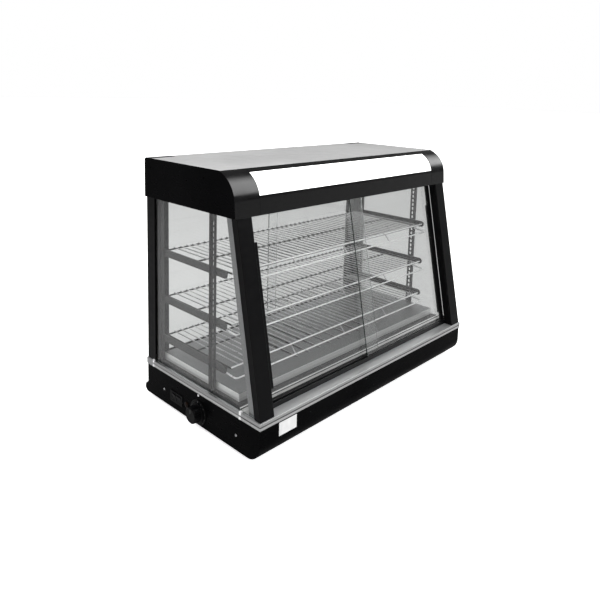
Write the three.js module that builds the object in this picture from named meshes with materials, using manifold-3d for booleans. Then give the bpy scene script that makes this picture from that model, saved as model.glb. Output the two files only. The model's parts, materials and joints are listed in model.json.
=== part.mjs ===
// Hot food display case: a heated counter-top cabinet with sliding glass doors front and rear.
// Millimetres. X runs to the right, Y to the rear and Z up; the front of the case faces -Y.
import * as THREE from 'three';
import { mergeVertices } from 'three/addons/utils/BufferGeometryUtils.js';
import Module from 'manifold-3d';

const wasm = await Module();
wasm.setup();

// ---------------------------------------------------------------- driving dimensions
const WIDTH = 900;
const DEPTH = 482;
const FOOT_HEIGHT = 10;
const BASE_HEIGHT = 86;
const TRIM_HEIGHT = 18;
const GLAZED_HEIGHT = 464;
const CANOPY_HEIGHT = 107;
const FRONT_SETBACK = 92;
const SHEET = 1.5;
const GLASS = 4;
const GAP = 0.3;

// ---------------------------------------------------------------- derived levels and planes
const HALF = WIDTH / 2;
const BASE_Z = FOOT_HEIGHT;
const TRIM_Z = BASE_Z + BASE_HEIGHT;
const SILL_Z = TRIM_Z + TRIM_HEIGHT;
const CANOPY_Z = SILL_Z + GLAZED_HEIGHT;
const TOP_Z = CANOPY_Z + CANOPY_HEIGHT;
const DECK_Z = SILL_Z - 1.8;
const BASE_HALF = HALF - 2;
const BASE_TOP = TRIM_Z + 9;
const FRAME_HALF = HALF - 3;
const CANOPY_HALF = HALF + 3;
const CANOPY_REAR = DEPTH - 2;
const FRONT_Y = 3;
const LEAN = Math.atan(FRONT_SETBACK / GLAZED_HEIGHT);

// End faces of the base: the controls sit on the left one.
const CONTROL_Z = BASE_Z + 35;
const KNOB_Y = 240;
const SWITCH_Y = 338;
const LAMP_Y = 291;
const KNOB_REACH = 26;
const INLET_X = -300;
const INLET_Z = BASE_Z + 46;

// Glass planes: distance of each pane's centre behind the front frame, and from the front of the case.
const DOOR_PITCH = 11;
const FRONT_OUTER = 32;
const FRONT_INNER = FRONT_OUTER + DOOR_PITCH;
const REAR_INNER = 448;
const REAR_OUTER = REAR_INNER + DOOR_PITCH;
const END_GLASS_X = HALF - 8.8;
const TRACK_HALF = HALF - 16;
const TRACK_FRONT = 31;
const TRACK_LOW = SILL_Z + GAP;
const TRACK_FLOOR = TRACK_LOW + 2.5;
const TRACK_TOP = TRACK_LOW + 12;
const POST_WIDTH = 45;
const DOOR_REACH = FRAME_HALF - POST_WIDTH - 4;

// Shelves and what carries them.
const SHELF_TOPS = [194, 307, 438];
const SHELF_NAMES = ['bottom', 'middle', 'top'];
const PILASTER_FRONT_Y = 200;
const PILASTER_REAR_Y = 430;
const SLOT_PITCH = 14.5;
const SHELF_FRONT = 152;
const SHELF_REAR = 432;
const SHELF_HALF = 413;
const WIRE_PITCH = 20.4;
const WIRE = 3;

// Rounding of the base: the large lower front corner and the bead along the lower rear edge.
const FRONT_ROUND = 45;
const BEAD = 14;

// The origin is the centre of the whole object's footprint, knob and rear bead included.
const KNOB_FACE = BASE_HALF + KNOB_REACH;
const CENTRE_X = (CANOPY_HALF - KNOB_FACE) / 2;
const CENTRE_Y = (DEPTH - 2 + BEAD) / 2;

// ---------------------------------------------------------------- materials
function finish(color, roughness, metalness) {
  return new THREE.MeshStandardMaterial({ color, roughness, metalness });
}

const BLACK_PAINT = finish(0x101011, 0.32, 0.2);
const BLACK_METAL = finish(0x141415, 0.4, 0.4);
const BLACK_PLASTIC = finish(0x0c0c0d, 0.45, 0);
const STAINLESS = finish(0xb4b6b8, 0.35, 0.9);
const CHROME = finish(0xd4d6d8, 0.15, 1);
const ZINC = finish(0x8f9498, 0.5, 0.8);
const GREY_STEEL = finish(0x66696b, 0.45, 0.7);
const GREY_PANEL = finish(0xa7a9a9, 0.4, 0.3);
const WHITE = finish(0xf6f6f2, 0.5, 0);
const RUBBER = finish(0x161616, 0.85, 0);
const AMBER = finish(0xc9641a, 0.3, 0);
const CLEAR = new THREE.MeshStandardMaterial({
  color: 0xcfe0dc, roughness: 0.05, metalness: 0, transparent: true, opacity: 0.25,
});

// ---------------------------------------------------------------- solids
function solid(geometry) {
  const bare = geometry.clone();
  bare.deleteAttribute('normal');
  bare.deleteAttribute('uv');
  const merged = mergeVertices(bare, 1e-4);
  return new wasm.Manifold(new wasm.Mesh({
    numProp: 3,
    vertProperties: new Float32Array(merged.attributes.position.array),
    triVerts: new Uint32Array(merged.index.array),
  }));
}

function asGeometry(shape) {
  const mesh = shape.getMesh();
  const geometry = new THREE.BufferGeometry();
  geometry.setAttribute('position', new THREE.BufferAttribute(new Float32Array(mesh.vertProperties), 3));
  geometry.setIndex(new THREE.BufferAttribute(new Uint32Array(mesh.triVerts), 1));
  const flat = geometry.toNonIndexed();
  flat.computeVertexNormals();
  return flat;
}

const join = (...shapes) => shapes.reduce((whole, piece) => whole.add(piece));
const cut = (shape, ...tools) => tools.reduce((rest, tool) => rest.subtract(tool), shape);
const keep = (shape, region) => shape.intersect(region);

// A box whose corners lie exactly on the given limits, so that neighbours can share a plane.
function box(xs, ys, zs) {
  const geometry = new THREE.BoxGeometry(1, 1, 1);
  const corners = geometry.attributes.position;
  for (let i = 0; i < corners.count; i += 1) {
    const limit = (limits, value) => (value < 0 ? limits[0] : limits[1]);
    corners.setXYZ(i, limit(xs, corners.getX(i)), limit(ys, corners.getY(i)), limit(zs, corners.getZ(i)));
  }
  return solid(geometry);
}

function outlineShape(points) {
  return new THREE.Shape(points.map(([u, v]) => new THREE.Vector2(u, v)));
}

function extrude(shape, length) {
  return new THREE.ExtrudeGeometry(shape, { depth: length, bevelEnabled: false, steps: 1 });
}

// An outline drawn in (y, z), swept along X.
function alongX(points, [x0, x1]) {
  const geometry = extrude(outlineShape(points), x1 - x0);
  const turn = new THREE.Matrix4().set(0, 0, 1, x0, 1, 0, 0, 0, 0, 1, 0, 0, 0, 0, 0, 1);
  return solid(geometry.applyMatrix4(turn));
}

// An outline drawn in (x, y), swept along Z.
function alongZ(points, [z0, z1]) {
  return solid(extrude(outlineShape(points), z1 - z0).translate(0, 0, z0));
}

// A round bar or hole along X, centred at (y, z).
function roundX(radius, y, z, [x0, x1], sides = 24) {
  const geometry = new THREE.CylinderGeometry(radius, radius, x1 - x0, sides);
  geometry.rotateZ(Math.PI / 2);
  return solid(geometry.translate((x0 + x1) / 2, y, z));
}

function roundY(radius, x, z, [y0, y1], sides = 24) {
  const geometry = new THREE.CylinderGeometry(radius, radius, y1 - y0, sides);
  return solid(geometry.translate(x, (y0 + y1) / 2, z));
}

function roundZ(radius, x, y, [z0, z1], sides = 24) {
  const geometry = new THREE.CylinderGeometry(radius, radius, z1 - z0, sides);
  geometry.rotateX(Math.PI / 2);
  return solid(geometry.translate(x, y, (z0 + z1) / 2));
}

// A turned piece along X: the profile lists (distance outward, radius) from x0 towards -X.
function turnedTowardsLeft(profile, x0, y, z, sides = 36) {
  const geometry = new THREE.LatheGeometry(profile.map(([out, r]) => new THREE.Vector2(r, out)), sides);
  geometry.rotateZ(Math.PI / 2);
  return solid(geometry.translate(x0, y, z));
}

function arc([cy, cz], radius, from, to, steps) {
  const points = [];
  for (let i = 0; i <= steps; i += 1) {
    const angle = THREE.MathUtils.degToRad(from + ((to - from) * i) / steps);
    points.push([cy + radius * Math.cos(angle), cz + radius * Math.sin(angle)]);
  }
  return points;
}

// Outline of a folded sheet: a line of points given a thickness on its right-hand side.
function folded(points, thickness) {
  const vectors = points.map(([u, v]) => new THREE.Vector2(u, v));
  const rightOf = (a, b) => {
    const along = b.clone().sub(a).normalize();
    return new THREE.Vector2(along.y, -along.x);
  };
  const inner = vectors.map((point, i) => {
    const before = i > 0 ? rightOf(vectors[i - 1], point) : null;
    const after = i < vectors.length - 1 ? rightOf(point, vectors[i + 1]) : null;
    const first = before ?? after;
    const second = after ?? before;
    const mitre = first.clone().add(second).normalize();
    return point.clone().addScaledVector(mitre, thickness / mitre.dot(first));
  });
  return [...points, ...inner.reverse().map((point) => [point.x, point.y])];
}

// The sloping front frame is drawn upright as (x, distance behind the front, height) and leaned back.
function lean(shape) {
  const radians = LEAN * (180 / Math.PI);
  return shape.rotate([-radians, 0, 0]).translate([0, FRONT_Y, SILL_Z]);
}

function mirrored(shape) {
  return shape.mirror([1, 0, 0]);
}

const everywhere = [-600, 600];
const slab = (z0, z1) => box(everywhere, everywhere, [z0, z1]);
const leaningLength = [-40, 560];

// Y of a point the given distance behind the sloping front, at height z.
function frontY(behind, z) {
  return FRONT_Y + (z - SILL_Z) * Math.tan(LEAN) + behind / Math.cos(LEAN);
}

// ---------------------------------------------------------------- the group
const group = new THREE.Group();
group.name = 'hot_food_display_case';

function part(name, material, shape) {
  const geometry = asGeometry(shape.translate([-CENTRE_X, -CENTRE_Y, 0]));
  const mesh = new THREE.Mesh(geometry, material);
  mesh.name = name;
  group.add(mesh);
}

const SIDES = [['left', (shape) => shape], ['right', mirrored]];

// ---------------------------------------------------------------- base
function baseOutline(inset) {
  const front = 2 + inset;
  const rear = DEPTH - 2 - inset;
  const bottom = BASE_Z + inset;
  const top = BASE_TOP + (inset > 0 ? 5 : 0);
  const round = arc([2 + FRONT_ROUND, BASE_Z + FRONT_ROUND], FRONT_ROUND - inset, 180, 270, 10);
  const bead = arc([DEPTH - 2, BASE_Z + BEAD], BEAD - inset, -90, 90, 12);
  return [[front, top], ...round, ...bead, [rear, top]].map(([y, z]) => [y, Math.max(z, bottom)]);
}

function baseShell() {
  const hollow = alongX(baseOutline(SHEET), [-BASE_HALF + SHEET, BASE_HALF - SHEET]);
  const wall = [-BASE_HALF - 5, -BASE_HALF + 5];
  return cut(
    alongX(baseOutline(0), [-BASE_HALF, BASE_HALF]),
    hollow,
    box([-370, 370], [130, 400], [BASE_Z - 5, BASE_Z + 5]),
    roundX(5, KNOB_Y, CONTROL_Z, wall, 16),
    box(wall, [SWITCH_Y - 25, SWITCH_Y + 25], [CONTROL_Z - 12, CONTROL_Z + 12]),
    roundX(6.3, LAMP_Y, CONTROL_Z, wall, 20),
    roundY(9, INLET_X, INLET_Z, [DEPTH - 8, DEPTH + 5], 20),
  );
}

function basePlate() {
  const low = BASE_Z + SHEET + GAP;
  return box([-430, 430], [70, 462], [low, low + SHEET]);
}

function foot() {
  const profile = [[0, 0], [17, 0], [17, 5], [14, FOOT_HEIGHT - GAP], [0, FOOT_HEIGHT - GAP]];
  const geometry = new THREE.LatheGeometry(profile.map(([r, z]) => new THREE.Vector2(r, z)), 20);
  return solid(geometry.rotateX(Math.PI / 2));
}

part('base_shell', BLACK_PAINT, baseShell());
part('base_bottom_plate', ZINC, basePlate());
for (const [end, y] of [['front', 100], ['rear', 430]]) {
  for (const [side, x] of [['left', -400], ['right', 400]]) {
    part(`foot_${end}_${side}`, RUBBER, foot().translate([x, y, 0]));
  }
}

// ---------------------------------------------------------------- stainless trim round the base
const RETURN = 72;
const RAIL_LIP = 6.4;
const FRONT_SILL = 57;
const REAR_SILL = 442;

const REAR_RETURN_START = DEPTH - 34;
const TRIM_UNDERSIDE = [TRIM_Z - 5, SILL_Z - SHEET];

// Sill and band in one piece, with short returns along both ends.
function frontTrim() {
  const inside = HALF - SHEET;
  return cut(
    box([-HALF, HALF], [0, RETURN], [TRIM_Z, SILL_Z]),
    box([-inside, inside], [SHEET, RETURN + 5], TRIM_UNDERSIDE),
    box([-HALF + RAIL_LIP, HALF - RAIL_LIP], [FRONT_SILL, RETURN + 5], [TRIM_Z, SILL_Z + 5]),
  );
}

function rearTrim() {
  const inside = HALF - SHEET;
  const corner = [-HALF - 5, -END_GLASS_X + 2.6];
  const notch = box(corner, [REAR_SILL - 5, REAR_RETURN_START], [TRIM_Z - 5, SILL_Z + 5]);
  return cut(
    box([-HALF, HALF], [REAR_SILL, DEPTH], [TRIM_Z, SILL_Z]),
    box([-inside, inside], [REAR_SILL - 5, DEPTH - SHEET], TRIM_UNDERSIDE),
    notch,
    mirrored(notch),
  );
}

// A channel open inwards: the end glass stands on its lower ledge.
function endTrim() {
  const ys = [RETURN + GAP, REAR_RETURN_START - GAP];
  const inward = [-HALF + SHEET, -HALF + 50];
  const ledge = TRIM_Z + 10;
  return cut(
    box([-HALF, -END_GLASS_X + 2.4], ys, [TRIM_Z, SILL_Z]),
    box(inward, everywhere, [TRIM_Z - 5, ledge]),
    box(inward, everywhere, [ledge + SHEET, SILL_Z - SHEET]),
    box([-HALF + RAIL_LIP, -HALF + 50], everywhere, [ledge + SHEET, SILL_Z + 5]),
  );
}

part('trim_front', STAINLESS, frontTrim());
part('trim_rear', STAINLESS, rearTrim());
for (const [side, place] of SIDES) part(`trim_${side}`, STAINLESS, place(endTrim()));

// ---------------------------------------------------------------- deck, heater and its cover
const COVER_FRONT = 102;
const COVER_REAR = 424;
const COVER_HALF = HALF - 24;
const COVER_HEIGHT = 29;
const TERMINAL_YS = [200, 330];

function deckPan() {
  const start = FRONT_SILL + 0.4;
  const line = [
    [start, DECK_Z], [start + 26, DECK_Z + 7], [start + 27.5, DECK_Z], [REAR_SILL - 0.4, DECK_Z],
  ];
  const pan = alongX(folded(line, 1.2), [-END_GLASS_X + 2.6, END_GLASS_X - 2.6]);
  return cut(pan, ...TERMINAL_YS.map((y) => roundZ(10, -350, y, [DECK_Z - 5, DECK_Z + 5], 16)));
}

function heaterCover() {
  const low = DECK_Z + GAP;
  const high = DECK_Z + COVER_HEIGHT;
  let cover = cut(
    box([-COVER_HALF, COVER_HALF], [COVER_FRONT, COVER_REAR], [low, high]),
    box([-COVER_HALF + 1.2, COVER_HALF - 1.2], [COVER_FRONT + 1.2, COVER_REAR - 1.2], [low - 5, high - 1.2]),
  );
  for (let i = -4; i <= 4; i += 1) {
    cover = cut(cover, box([i * 45 - 5, i * 45 + 5], [150, 350], [high - 5, high + 5]));
  }
  return cover;
}

// A tubular element: two long legs joined by a bend, with its cold ends turned down through the deck.
function heatingElement() {
  const level = DECK_Z + 12;
  const [near, far] = TERMINAL_YS;
  const bend = (far - near) / 2;
  const turn = arc([350, (near + far) / 2], bend, -90, 90, 10).map(([x, y]) => [x, y, level]);
  const route = [
    [-350, near, DECK_Z - 18], [-350, near, DECK_Z + 2], [-346, near, level - 2], [-335, near, level],
    [0, near, level], ...turn, [0, far, level],
    [-335, far, level], [-346, far, level - 2], [-350, far, DECK_Z + 2], [-350, far, DECK_Z - 18],
  ];
  const points = route.map((point) => new THREE.Vector3(...point));
  const curve = new THREE.CatmullRomCurve3(points, false, 'centripetal');
  const ring = new THREE.Shape();
  ring.absarc(0, 0, 4, 0, Math.PI * 2);
  return solid(new THREE.ExtrudeGeometry(ring, { steps: 48, curveSegments: 4, extrudePath: curve }));
}

part('deck_pan', STAINLESS, deckPan());
part('heater_cover', STAINLESS, heaterCover());
part('heating_element', ZINC, heatingElement());

// ---------------------------------------------------------------- frame posts
const POST_SHEET = 2.5;
const PULL_THICKNESS = 10;
const REAR_POST_FRONT = 442;

// Front post: an angle whose inner flange turns back to the doors, notched over their track.
function frontPost() {
  const outer = -FRAME_HALF;
  const inner = outer + POST_WIDTH;
  const flange = FRONT_OUTER - PULL_THICKNESS / 2 - GAP;
  const section = [
    [outer, 0], [inner, 0], [inner, flange], [inner - 2, flange], [inner - 2, POST_SHEET],
    [outer + POST_SHEET, POST_SHEET], [outer + POST_SHEET, 20], [outer, 20],
  ];
  const post = keep(lean(alongZ(section, leaningLength)), slab(SILL_Z + GAP, CANOPY_Z - GAP));
  return cut(post, box(everywhere, [TRACK_FRONT - GAP, 60], [SILL_Z - 5, TRACK_TOP + GAP]));
}

// Rear post: a closed channel with a slot beside its front flange for the end glass.
function rearPost() {
  const outer = -FRAME_HALF;
  const inner = outer + POST_WIDTH + 2;
  const rear = DEPTH - 2;
  const slot = -END_GLASS_X + GLASS / 2 + GAP;
  const section = [
    [outer, REAR_POST_FRONT], [outer + POST_SHEET, REAR_POST_FRONT],
    [outer + POST_SHEET, rear - POST_SHEET], [inner - POST_SHEET, rear - POST_SHEET],
    [inner - POST_SHEET, REAR_POST_FRONT + POST_SHEET], [slot, REAR_POST_FRONT + POST_SHEET],
    [slot, REAR_POST_FRONT], [inner, REAR_POST_FRONT], [inner, rear], [outer, rear],
  ];
  return alongZ(section, [SILL_Z + GAP, CANOPY_Z - GAP]);
}

// Stainless strip that lines the sloping edge of each end glass on the inside.
function sealStrip() {
  const outer = -END_GLASS_X + 2.4;
  const section = [[outer, 5], [outer + 1.2, 5], [outer + 1.2, 45], [outer, 45]];
  return keep(lean(alongZ(section, leaningLength)), slab(SILL_Z + GAP, CANOPY_Z - GAP));
}

for (const [side, place] of SIDES) {
  part(`front_post_${side}`, BLACK_METAL, place(frontPost()));
  part(`rear_post_${side}`, BLACK_METAL, place(rearPost()));
  part(`glass_strip_${side}`, STAINLESS, place(sealStrip()));
}

// ---------------------------------------------------------------- end glass
function endGlass() {
  const low = TRIM_Z + 10 + SHEET + GAP;
  const high = CANOPY_Z + 15;
  const rear = DEPTH - 6;
  const above = SILL_Z + GAP;
  const [near, far] = [RETURN + 2 * GAP, REAR_RETURN_START - 2 * GAP];
  const outline = [
    [near, low], [far, low], [far, above], [rear, above],
    [rear, high], [frontY(6, high), high], [frontY(6, above), above], [near, above],
  ];
  return alongX(outline, [-END_GLASS_X - GLASS / 2, -END_GLASS_X + GLASS / 2]);
}

for (const [side, place] of SIDES) part(`end_glass_${side}`, CLEAR, place(endGlass()));

// ---------------------------------------------------------------- door tracks
const HEAD_LOW = CANOPY_Z + 3;
const HEAD_TOP = CANOPY_Z + 19;
const GROOVE = 6.4;

// A flat slab parallel to the sloping front, the given distance behind it.
function leaningSlab([x0, x1], behind, thickness) {
  const [near, far] = [behind - thickness / 2, behind + thickness / 2];
  return lean(alongZ([[x0, near], [x1, near], [x1, far], [x0, far]], leaningLength));
}

const frontGroove = (behind) => leaningSlab(everywhere, behind, GROOVE);

function rearGroove(y) {
  return box(everywhere, [y - GROOVE / 2, y + GROOVE / 2], [0, 700]);
}

function lowerFrontTrack() {
  const bar = box([-TRACK_HALF, TRACK_HALF], [TRACK_FRONT, 55.5], [TRACK_LOW, TRACK_TOP]);
  const open = slab(TRACK_FLOOR, TRACK_TOP + 5);
  return cut(bar, ...[FRONT_OUTER, FRONT_INNER].map((behind) => keep(frontGroove(behind), open)));
}

function lowerRearTrack() {
  const reach = FRAME_HALF - POST_WIDTH - 2 - 2 * GAP;
  const bar = box([-reach, reach], [REAR_INNER - 7, REAR_OUTER + 7], [TRACK_LOW, TRACK_TOP]);
  const open = slab(TRACK_FLOOR, TRACK_TOP + 5);
  return cut(bar, ...[REAR_INNER, REAR_OUTER].map((y) => keep(rearGroove(y), open)));
}

part('front_door_track', BLACK_METAL, lowerFrontTrack());
part('rear_door_track', BLACK_METAL, lowerRearTrack());

// ---------------------------------------------------------------- sliding glass doors
const PANE_LOW = TRACK_FLOOR + GAP;
const PANE_HIGH = HEAD_TOP - 6;
const FRONT_LEFT_EDGE = 56;
const FRONT_RIGHT_EDGE = -7;
const REAR_OVERLAP = 14;

function frontPane(behind, xs) {
  return keep(leaningSlab(xs, behind, GLASS), slab(PANE_LOW, PANE_HIGH));
}

function rearPane(y, xs) {
  return box(xs, [y - GLASS / 2, y + GLASS / 2], [PANE_LOW, PANE_HIGH]);
}

// Black edge profile clipped over the pane's outer edge, widened to a grip over most of its height.
const PROFILE_WIDTH = 13;
const LEFT_GRIP_WIDTH = 36;
const RIGHT_GRIP_WIDTH = 20;

function doorPull(behind, edge, inward, gripWidth) {
  const length = GLAZED_HEIGHT / Math.cos(LEAN);
  const ys = [behind - PULL_THICKNESS / 2, behind + PULL_THICKNESS / 2];
  const half = (GLASS + GAP) / 2;
  const across = (from, to) => [edge + from * inward, edge + to * inward].sort((a, b) => a - b);
  const profile = box(across(-3, PROFILE_WIDTH), ys, [0, length + 10]);
  const grip = box(across(PROFILE_WIDTH - 3, gripWidth), ys, [0.1 * length, 0.86 * length]);
  const slot = box(across(-GAP, gripWidth + 5), [behind - half, behind + half], [-5, length + 20]);
  return keep(lean(cut(join(profile, grip), slot)), slab(TRACK_TOP + 0.7, HEAD_LOW - 0.7));
}

part('front_door_left', CLEAR, frontPane(FRONT_INNER, [-DOOR_REACH, FRONT_LEFT_EDGE]));
part('front_door_right', CLEAR, frontPane(FRONT_OUTER, [FRONT_RIGHT_EDGE, DOOR_REACH]));
part('front_pull_left', BLACK_PLASTIC, doorPull(FRONT_INNER, -DOOR_REACH, 1, LEFT_GRIP_WIDTH));
part('front_pull_right', BLACK_PLASTIC, doorPull(FRONT_OUTER, DOOR_REACH, -1, RIGHT_GRIP_WIDTH));
part('rear_door_left', CLEAR, rearPane(REAR_INNER, [-DOOR_REACH, REAR_OVERLAP]));
part('rear_door_right', CLEAR, rearPane(REAR_OUTER, [-REAR_OVERLAP, DOOR_REACH]));

// ---------------------------------------------------------------- shelf pilasters and brackets
const PILASTER_WIDTH = 20;
const PILASTER_DEPTH = 8;
const PILASTER_X = -END_GLASS_X + 4.2;

function pilaster(y) {
  const web = PILASTER_X + PILASTER_DEPTH;
  const near = y - PILASTER_WIDTH / 2;
  const far = y + PILASTER_WIDTH / 2;
  const section = [
    [PILASTER_X, near], [web, near], [web, far], [PILASTER_X, far],
    [PILASTER_X, far - 1.2], [web - 1.2, far - 1.2], [web - 1.2, near + 1.2], [PILASTER_X, near + 1.2],
  ];
  let strip = alongZ(section, [DECK_Z + GAP, CANOPY_Z + 2]);
  for (let z = DECK_Z + 40; z < CANOPY_Z - 20; z += SLOT_PITCH) {
    strip = cut(strip, box([web - 5, web + 5], [y - 3, y + 3], [z, z + 9]));
  }
  return strip;
}

// Angle bar with a rounded nose, hooked into a slot of each pilaster.
function shelfBracket(top) {
  const web = PILASTER_X + PILASTER_DEPTH + GAP;
  const nose = arc([SHELF_FRONT + 8, top - 10], 10, 90, 270, 8);
  const outline = [...nose, [PILASTER_REAR_Y + 8, top - 20], [PILASTER_REAR_Y + 8, top]];
  const bar = alongX(outline, [web, web + 3]);
  const ledge = box([web + 1, web + 14], [SHELF_FRONT + 10, PILASTER_REAR_Y + 6], [top - 12, top - 10]);
  const hooks = [PILASTER_FRONT_Y, PILASTER_REAR_Y].map((y) => {
    const first = DECK_Z + 40;
    const slot = first + Math.floor((top - 12 - first) / SLOT_PITCH) * SLOT_PITCH;
    return box([web - 3, web + 1], [y - 1.5, y + 1.5], [slot + 1, slot + 8]);
  });
  return join(bar, ledge, ...hooks);
}

// Wire grid: rods across, wires front to back laid on them, and a lip of a dropped front rod on uprights.
function wireShelf(top) {
  const half = WIRE / 2;
  const rodZ = top - 10 + GAP + half;
  const wireZ = rodZ + WIRE - 0.5;
  const bar = (y, z, reach) => box([-reach, reach], [y - half, y + half], [z - half, z + half]);
  const lipY = SHELF_FRONT - 20;
  const lipZ = rodZ - 21;
  const rodYs = [SHELF_REAR, (SHELF_REAR + SHELF_FRONT) / 2, SHELF_FRONT];
  const rods = rodYs.map((y) => bar(y, rodZ, SHELF_HALF));
  const count = Math.floor((SHELF_HALF - 6) / WIRE_PITCH);
  const wires = [];
  for (let i = -count; i <= count; i += 1) {
    const x = i * WIRE_PITCH;
    const ys = [SHELF_FRONT - half, SHELF_REAR + half];
    wires.push(box([x - half, x + half], ys, [wireZ - half, wireZ + half]));
  }
  const uprights = [];
  for (let i = -2; i <= 2; i += 1) {
    const x = (i / 2) * (SHELF_HALF - half);
    const line = folded([[lipY - 1, lipZ - 1], [SHELF_FRONT - 1, rodZ + 1]], 2);
    uprights.push(alongX(line, [x - half, x + half]));
  }
  return join(...rods, bar(lipY, lipZ, SHELF_HALF), ...wires, ...uprights);
}

for (const [side, place] of SIDES) {
  part(`pilaster_front_${side}`, GREY_STEEL, place(pilaster(PILASTER_FRONT_Y)));
  part(`pilaster_rear_${side}`, GREY_STEEL, place(pilaster(PILASTER_REAR_Y)));
}
SHELF_TOPS.forEach((top, i) => {
  part(`shelf_${SHELF_NAMES[i]}`, CHROME, wireShelf(top));
  for (const [side, place] of SIDES) {
    part(`shelf_bracket_${SHELF_NAMES[i]}_${side}`, GREY_STEEL, place(shelfBracket(top)));
  }
});

// ---------------------------------------------------------------- canopy
const CAP_STRIP = 78;
const CAP_WEB = 2;
const TOP_EDGE = 153;
const REAR_RETURN = DEPTH - 35;
const REAR_CORNER = 8;
const FASCIA_TOP = CANOPY_Z + 48;
const DIFFUSER_TOP = TOP_Z - 8;
const PANEL_DROP = 26;

// The canopy's front, from its lower edge up over the curve to the top.
function canopyFront() {
  const start = new THREE.Vector2(frontY(0, CANOPY_Z) + 1.5, CANOPY_Z + 38);
  const pull = new THREE.Vector2(start.x + 5, CANOPY_Z + 86);
  const end = new THREE.Vector2(TOP_EDGE, TOP_Z);
  const curve = new THREE.QuadraticBezierCurve(start, pull, end).getPoints(12);
  return [[frontY(0, CANOPY_Z) - 1, CANOPY_Z], ...curve.map((point) => [point.x, point.y])];
}

// The stretch of the canopy's front between two heights.
function frontStretch(low, high) {
  const line = canopyFront();
  const at = (z) => {
    const i = line.findIndex((point, k) => k > 0 && point[1] >= z - 1e-6);
    const [a, b] = [line[i - 1], line[i]];
    const t = (z - a[1]) / (b[1] - a[1]);
    return [a[0] + t * (b[0] - a[0]), z];
  };
  return [at(low), ...line.filter((point) => point[1] > low + 0.5 && point[1] < high - 0.5), at(high)];
}

const rearCorner = arc([CANOPY_REAR - REAR_CORNER, TOP_Z - REAR_CORNER], REAR_CORNER, 90, 0, 5);

// End of the canopy: a flat side with a strip folded in along its front and another over its rear corner.
function endCap() {
  const rear = [...rearCorner, [CANOPY_REAR, CANOPY_Z]];
  const side = [...canopyFront(), ...rear];
  const across = [-CANOPY_HALF + 1, -CANOPY_HALF + CAP_STRIP];
  const cap = join(
    alongX(side, [-CANOPY_HALF, -CANOPY_HALF + CAP_WEB]),
    alongX(folded(canopyFront(), SHEET), across),
    alongX(folded([[REAR_RETURN, TOP_Z], ...rear], SHEET), across),
  );
  return keep(cap, slab(CANOPY_Z, TOP_Z));
}

const BETWEEN_STRIPS = [-CANOPY_HALF + CAP_STRIP + GAP, CANOPY_HALF - CAP_STRIP - GAP];

// Front fascia under the diffuser; a web inside it carries the two grooves for the front doors.
function fascia() {
  const sheet = alongX(folded(frontStretch(CANOPY_Z, FASCIA_TOP - GAP), SHEET), BETWEEN_STRIPS);
  const front = keep(sheet, slab(CANOPY_Z, TOP_Z));
  const web = box(BETWEEN_STRIPS, [frontY(0, CANOPY_Z) + 0.5, 140], [HEAD_TOP - SHEET, HEAD_TOP]);
  const near = frontY(FRONT_OUTER - 7, CANOPY_Z);
  const far = frontY(FRONT_INNER + 7, HEAD_TOP);
  const head = box([-TRACK_HALF, TRACK_HALF], [near, far], [HEAD_LOW, HEAD_TOP]);
  const open = slab(HEAD_LOW - 5, HEAD_TOP - SHEET);
  const grooves = [FRONT_OUTER, FRONT_INNER].map((behind) => keep(frontGroove(behind), open));
  return join(front, web, cut(head, ...grooves));
}

function lightDiffuser() {
  return alongX(folded(frontStretch(FASCIA_TOP, DIFFUSER_TOP), 2), BETWEEN_STRIPS);
}

// Narrow black rail that closes the gap between the diffuser and the top.
function diffuserRail() {
  return alongX(folded(frontStretch(DIFFUSER_TOP + GAP, TOP_Z), SHEET), BETWEEN_STRIPS);
}

// Grey top: turned down behind the diffuser's rail, and over the rear corner between the two end strips.
function canopyTop() {
  const front = TOP_EDGE + SHEET;
  const flat = [[front, TOP_Z - 12], [front, TOP_Z], [REAR_RETURN - GAP, TOP_Z]];
  const over = [[REAR_RETURN - 1, TOP_Z], ...rearCorner, [CANOPY_REAR, TOP_Z - PANEL_DROP]];
  const inside = CANOPY_HALF - CAP_WEB - GAP;
  return join(alongX(folded(flat, SHEET), [-inside, inside]), alongX(folded(over, SHEET), BETWEEN_STRIPS));
}

// Rear of the canopy below the grey top, with the head of the rear door track on a web inside it.
function canopyRear() {
  const inside = CANOPY_HALF - CAP_WEB - GAP;
  const head = box([-TRACK_HALF, TRACK_HALF], [REAR_INNER - 7, REAR_OUTER + 7], [HEAD_LOW, HEAD_TOP]);
  const web = [HEAD_TOP - SHEET, HEAD_TOP];
  const open = slab(HEAD_LOW - 5, HEAD_TOP - SHEET);
  const grooves = [REAR_INNER, REAR_OUTER].map((y) => keep(rearGroove(y), open));
  return join(
    box(BETWEEN_STRIPS, [CANOPY_REAR - SHEET, CANOPY_REAR], [CANOPY_Z, TOP_Z - PANEL_DROP - GAP]),
    box(BETWEEN_STRIPS, [REAR_OUTER, CANOPY_REAR - 1], web),
    box([-inside, inside], [REAR_OUTER, CANOPY_REAR - SHEET - GAP], web),
    cut(head, ...grooves),
  );
}

for (const [side, place] of SIDES) part(`canopy_end_${side}`, BLACK_PAINT, place(endCap()));
part('canopy_fascia', BLACK_PAINT, fascia());
part('canopy_top', GREY_PANEL, canopyTop());
part('canopy_rear', BLACK_PAINT, canopyRear());
part('light_diffuser', WHITE, lightDiffuser());
part('diffuser_rail', BLACK_PAINT, diffuserRail());

// ---------------------------------------------------------------- lamp
const LAMP_CENTRE = [195, TOP_Z - 48];
const TUBE_HALF = 350;

function lampTube() {
  const [y, z] = LAMP_CENTRE;
  const pins = roundX(3, y, z, [-TUBE_HALF - 8, TUBE_HALF + 8], 8);
  return join(roundX(12, y, z, [-TUBE_HALF, TUBE_HALF], 20), pins);
}

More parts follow.
